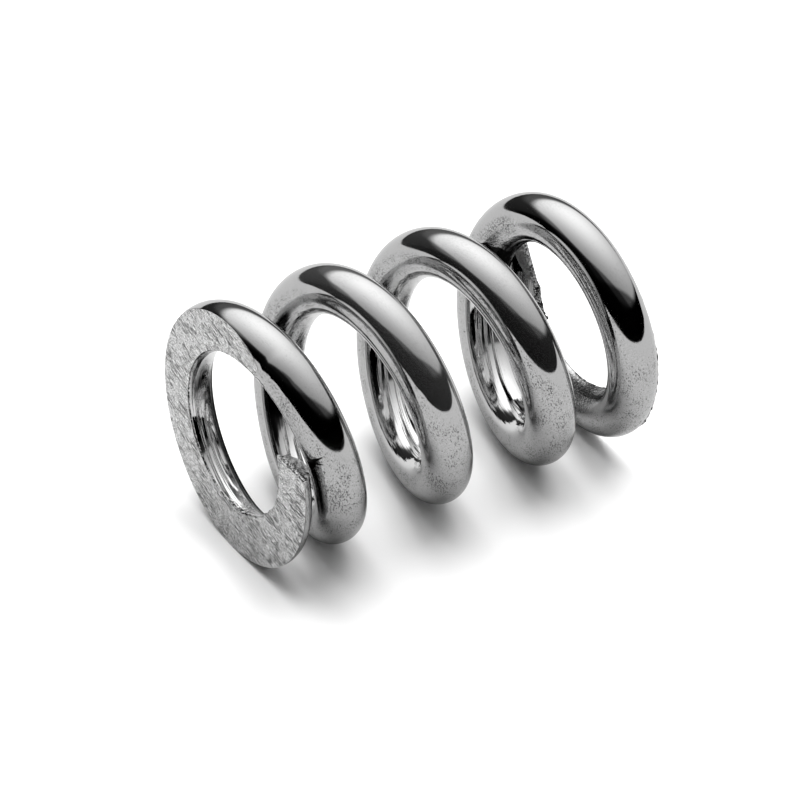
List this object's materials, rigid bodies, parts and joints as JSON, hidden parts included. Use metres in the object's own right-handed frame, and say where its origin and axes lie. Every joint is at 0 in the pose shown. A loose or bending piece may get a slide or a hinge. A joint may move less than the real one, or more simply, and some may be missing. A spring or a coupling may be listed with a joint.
{
  "type": "compression spring",
  "caption": "Short stout helical compression spring of round steel wire, right-hand wound, with closed ends ground flat.",
  "frame": {"origin": "where the coil's own axis crosses the lower ground face", "axes": "+Z square to the two ground faces, from the lower one to the upper one; the upper wire end lies towards -X and a little towards -Y"},
  "size_m": [0.0278, 0.0281, 0.0402],
  "materials": {
    "spring_steel": "satin"
  },
  "bodies": {
    "root": {"spring_coil": "spring_steel"}
  },
  "joints": []
}
